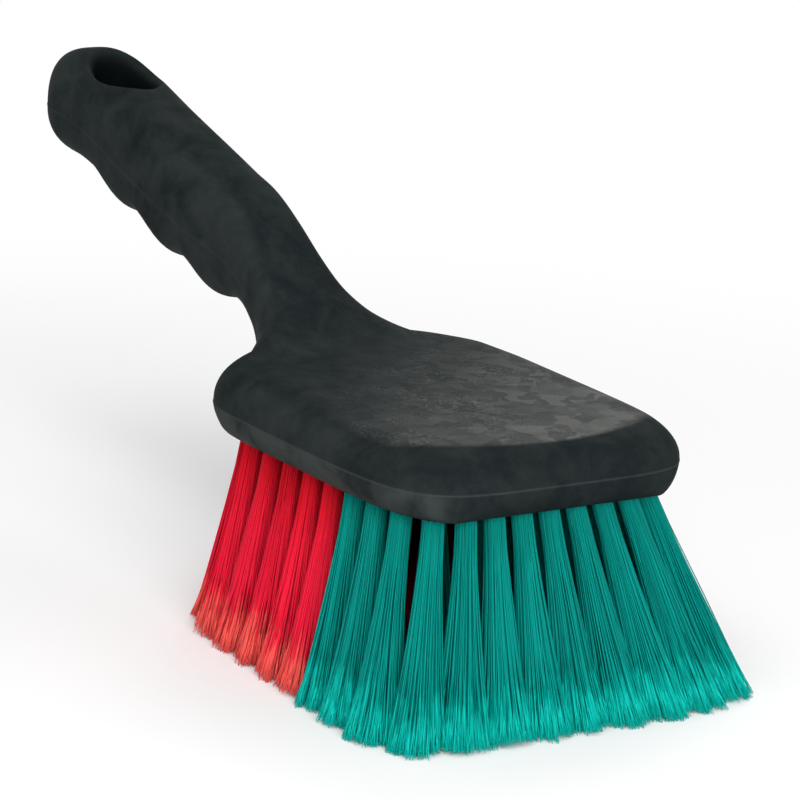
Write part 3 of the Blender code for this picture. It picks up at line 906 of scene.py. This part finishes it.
def black_plastic():
    """Moulded black plastic: scuffed and dusty on top of the block, with a painted sheen there that
    is lighter towards its front right, and finely streaked elsewhere.
    """
    n = Nodes("black_plastic")
    _, normal_y, normal_z = n.axes(n.add("ShaderNodeNewGeometry").outputs["Normal"])
    x, y, z = n.axes(n.place())
    seam = mould_line_highlight(n, x, z)

    on_top = n.times(n.ramp(normal_z, *TOP_FACING), n.ramp(n.field("bevel"), *BEVEL_FADE))
    across = n.maths("ADD", x, y)
    cloud = n.noise(n.place(), *CLOUD_NOISE)
    torn = n.cells(n.warped(*TORN_WARP), TORN_SCALE)
    # painted sheen mixed with worn dust: the block's top is made lighter towards its front right,
    # where light glances off it, in cloudy and torn patches
    wear_and_sheen = n.times(on_top, n.ramp(across, *WEAR_AND_SHEEN_REACH),
                   n.ramp(cloud, *WEAR_AND_SHEEN_CLOUDS), n.ramp(torn, *WEAR_AND_SHEEN_TEARS))

    curls = n.band(n.noise(n.place(), *CURL_NOISE), *CURL_LINE)
    creases = n.band(n.noise(n.warped(*CREASE_WARP), *CREASE_NOISE), *CREASE_LINE)
    patches = n.ramp(n.noise(n.place(), *MARK_NOISE), *MARK_PATCHES)
    on_block = n.times(on_top, n.ramp(across, *MARK_REACH))
    marks = n.times(n.maths("MAXIMUM", curls, creases), patches, on_block)

    streaks = n.ramp(n.noise(n.place(STREAK_STRETCH), *STREAK_NOISE), *STREAK_EDGE)
    mottle = n.ramp(n.noise(n.place(), *MOTTLE_NOISE), *MOTTLE_EDGE)
    # painted reflection of the white floor: the near side is made paler, most of all below the mould
    # line
    below = n.ramp(z, PARTING_Z + FLASH_HALF_WIDTH, PARTING_Z - FLASH_HALF_WIDTH,
                   *NEAR_SIDE_SHEEN_STRENGTHS)
    near_side_sheen = n.times(n.ramp(normal_y, *NEAR_FACING), n.ramp(cloud, *NEAR_CLOUDS), below)
    # painted shade: the hanging hole's bore is darkened away from its lip, where little light reaches
    bore_shade = n.ramp(n.field("bore_shade"), *BORE_SHADE_EDGE)
    colour = n.mix(mottle, DARK_PLASTIC, LIGHT_PLASTIC)
    colour = n.mix(wear_and_sheen, colour, WEAR_AND_SHEEN_COLOUR)
    colour = n.mix(n.times(marks, MARK_STRENGTH), colour, MARK_COLOUR)
    colour = n.mix(n.times(streaks, STREAK_STRENGTH), colour, STREAK_COLOUR)
    colour = n.mix(near_side_sheen, colour, NEAR_SIDE_SHEEN_COLOUR)
    # painted highlight along the mould line
    colour = n.mix(n.times(seam, SEAM_HIGHLIGHT_STRENGTH), colour, SEAM_HIGHLIGHT_COLOUR)
    colour = n.mix(n.times(bore_shade, BORE_SHADE_STRENGTH), colour, BORE_SHADE_COLOUR)
    n.put(n.shader.inputs["Base Color"], colour)

    rough = n.ramp(n.noise(n.place(), *ROUGH_NOISE), *ROUGH_RANGE)
    rough = n.maths("ADD", rough, n.times(wear_and_sheen, WEAR_AND_SHEEN_ROUGHNESS))
    n.put(n.shader.inputs["Roughness"], rough)
    n.shader.inputs["Specular IOR Level"].default_value = PLASTIC_SPECULAR

    height = n.times(n.noise(n.place(), *GRAIN_NOISE), GRAIN_HEIGHT_SHARE)
    dents = n.times(n.noise(n.place(), *DENT_NOISE), DENT_HEIGHT_SHARE)
    height = n.maths("ADD", height, dents)
    height = n.maths("ADD", height, n.times(marks, MARK_HEIGHT_SHARE))
    bump = n.add("ShaderNodeBump")
    bump.inputs["Strength"].default_value = BUMP_STRENGTH
    bump.inputs["Distance"].default_value = BUMP_DISTANCE
    n.put(bump.inputs["Height"], height)
    n.put(n.shader.inputs["Normal"], bump.outputs["Normal"])
    return n.material


def filament(name, root, middle, tip, inner_shade):
    """Drawn plastic filament that pales where its end is split, with painted shade near its root."""
    n = Nodes(name)
    way = n.field("way")
    tone = n.field("tone")
    ragged = n.noise(n.place(), *PALE_NOISE)
    start = n.maths("ADD", n.times(ragged, PALE_NOISE_SHARE), PALE_START_SHARE)
    start = n.maths("ADD", start, n.times(tone, PALE_TONE_SHARE))
    pale = n.ramp(n.maths("SUBTRACT", way, start), 0.0, PALE_LENGTH_SHARE)
    # painted shade: a darker root colour blending into the middle one
    colour = n.mix(n.ramp(way, 0.0, MIDDLE_SHARE), root, middle)
    colour = n.mix(n.times(pale, PALE_STRENGTH), colour, tip)
    # painted shade: the real block is filled, so hardly any light reaches the inner tufts near their
    # roots
    inner_root_shade = n.ramp(way, *INNER_LIGHT_SHARES, inner_shade, 0.0)
    unlit = n.times(n.field("inner"), inner_root_shade)
    shade = n.times(n.ramp(tone, 0.0, 1.0, *TONE_SHADES), n.maths("SUBTRACT", 1.0, unlit))
    tinted = n.add("ShaderNodeVectorMath", operation="SCALE")
    n.put(tinted.inputs[0], colour)
    n.put(tinted.inputs["Scale"], shade)
    n.put(n.shader.inputs["Base Color"], tinted.outputs["Vector"])
    n.put(n.shader.inputs["Roughness"], n.ramp(tone, 0.0, 1.0, *TONE_ROUGHNESS))
    n.shader.inputs["Specular IOR Level"].default_value = FILAMENT_SPECULAR
    return n.material


def floor_material():
    """Pale floor that keeps the shadow near the brush and is plain white far from it."""
    n = Nodes("floor_white")
    n.shader.inputs["Base Color"].default_value = FLOOR_COLOUR
    n.shader.inputs["Roughness"].default_value = FLOOR_ROUGHNESS
    n.shader.inputs["Specular IOR Level"].default_value = 0.0
    plain = n.add("ShaderNodeEmission")
    plain.inputs["Strength"].default_value = 1.0
    ray = n.add("ShaderNodeLightPath")
    mirrored = n.maths("MAXIMUM", ray.outputs["Is Glossy Ray"], ray.outputs["Is Transmission Ray"])
    shown = n.maths("MAXIMUM", ray.outputs["Is Camera Ray"], mirrored)
    far = n.add("ShaderNodeVectorMath", operation="LENGTH")
    n.put(far.inputs[0], n.place())
    away = n.ramp(far.outputs["Value"], *FLOOR_FADE)
    blend = n.add("ShaderNodeMixShader")
    n.put(blend.inputs["Fac"], n.times(shown, away))
    n.put(blend.inputs[1], n.shader.outputs["BSDF"])
    n.put(blend.inputs[2], plain.outputs["Emission"])
    n.put(n.tree.nodes["Material Output"].inputs["Surface"], blend.outputs["Shader"])
    return n.material


# Stage

def make_floor():
    mesh = bpy.data.meshes.new("floor")
    corners = [(-FLOOR_HALF, -FLOOR_HALF, 0), (FLOOR_HALF, -FLOOR_HALF, 0),
               (FLOOR_HALF, FLOOR_HALF, 0), (-FLOOR_HALF, FLOOR_HALF, 0)]
    mesh.from_pydata(corners, [], [(0, 1, 2, 3)])
    mesh.materials.append(floor_material())
    floor = bpy.data.objects.new("floor", mesh)
    bpy.context.scene.collection.objects.link(floor)


def make_world():
    """White to the camera and in reflections, and a soft grey light on the object."""
    world = bpy.data.worlds.new("studio")
    world.use_nodes = True
    bpy.context.scene.world = world
    tree = world.node_tree
    background = tree.nodes["Background"]
    background.inputs["Color"].default_value = (1.0, 1.0, 1.0, 1.0)
    ray = tree.nodes.new("ShaderNodeLightPath")
    strength = tree.nodes.new("ShaderNodeMix")
    strength.inputs["A"].default_value = WORLD_STRENGTH
    strength.inputs["B"].default_value = 1.0
    shown = ray.outputs["Is Camera Ray"]
    for other in ("Is Glossy Ray", "Is Transmission Ray"):
        either = tree.nodes.new("ShaderNodeMath")
        either.operation = "MAXIMUM"
        tree.links.new(shown, either.inputs[0])
        tree.links.new(ray.outputs[other], either.inputs[1])
        shown = either.outputs[0]
    tree.links.new(shown, strength.inputs["Factor"])
    tree.links.new(strength.outputs["Result"], background.inputs["Strength"])


def toward(azimuth, elevation):
    """Unit direction out to an azimuth and elevation, as the part's views count them."""
    a = math.radians(azimuth)
    e = math.radians(elevation)
    return Vector((math.sin(a) * math.cos(e), -math.cos(a) * math.cos(e), math.sin(e)))


def make_lamps():
    for name, azimuth, elevation, distance, size, watts in LAMPS:
        data = bpy.data.lights.new(name, "AREA")
        data.shape = "DISK"
        data.size = size
        data.energy = watts
        lamp = bpy.data.objects.new(name, data)
        out = toward(azimuth, elevation)
        lamp.location = LAMP_AIM + out * distance
        lamp.rotation_mode = "QUATERNION"
        lamp.rotation_quaternion = (-out).to_track_quat("-Z", "Y")
        bpy.context.scene.collection.objects.link(lamp)


def make_camera():
    """The camera that was fitted to the photograph: it turns, with no shift, to frame the brush."""
    out = toward(CAMERA_AZIMUTH_DEGREES, CAMERA_ELEVATION_DEGREES)
    level = (-out).cross(Vector((0, 0, 1))).normalized()
    above = level.cross(-out)
    roll = math.radians(CAMERA_ROLL_DEGREES)
    right = level * math.cos(roll) + above * math.sin(roll)
    up = above * math.cos(roll) - level * math.sin(roll)
    seen = Vector(((AIM_PIXEL[0] - FRAME_PIXELS / 2) / FOCAL_PIXELS,
                   (FRAME_PIXELS / 2 - AIM_PIXEL[1]) / FOCAL_PIXELS, 1.0))
    turn = Vector((0, 0, 1)).rotation_difference(seen).to_matrix()
    axes = turn @ Matrix((right, up, -out))
    pose = Matrix((axes[0], axes[1], -axes[2])).transposed().to_4x4()
    aim = Vector((AIM_STATION - ORIGIN_STATION, 0, PARTING_Z))
    data = bpy.data.cameras.new("camera")
    data.sensor_width = SENSOR_WIDTH
    data.lens = FOCAL_PIXELS / FRAME_PIXELS * SENSOR_WIDTH
    camera = bpy.data.objects.new("camera", data)
    camera.matrix_world = Matrix.Translation(aim + out * CAMERA_DISTANCE) @ pose
    bpy.context.scene.collection.objects.link(camera)
    bpy.context.scene.camera = camera


def make_brush():
    layout = []
    for inset, count, filaments in zip(RING_INSETS, RING_COUNTS, RING_FILAMENTS):
        inner = float(inset > RING_INSETS[0])
        layout += [(root, filaments, inner) for root in ring_places(inset, count)]
    body = moulding([root for root, _, _ in layout], black_plastic())
    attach(body, "root")
    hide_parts("handle_block")
    materials = {colour: filament(colour + "_filament", *looks)
                 for colour, looks in FILAMENT_LOOKS.items()}
    counts = dict.fromkeys(FILAMENT_LOOKS, 0)
    for seed, (root, filaments, inner) in enumerate(layout):
        colour = "red" if root.x < RED_LIMIT else "green"
        counts[colour] += 1
        label = f"{colour}_{counts[colour]:02d}"
        name = "bristles_" + label
        piece = filament_tuft(name, root, filaments, inner, seed, materials[colour])
        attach(piece, "root")
        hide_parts("tuft_" + label)


bpy.context.scene.view_settings.view_transform = "Standard"
make_camera()
make_world()
make_lamps()
make_floor()
make_brush()
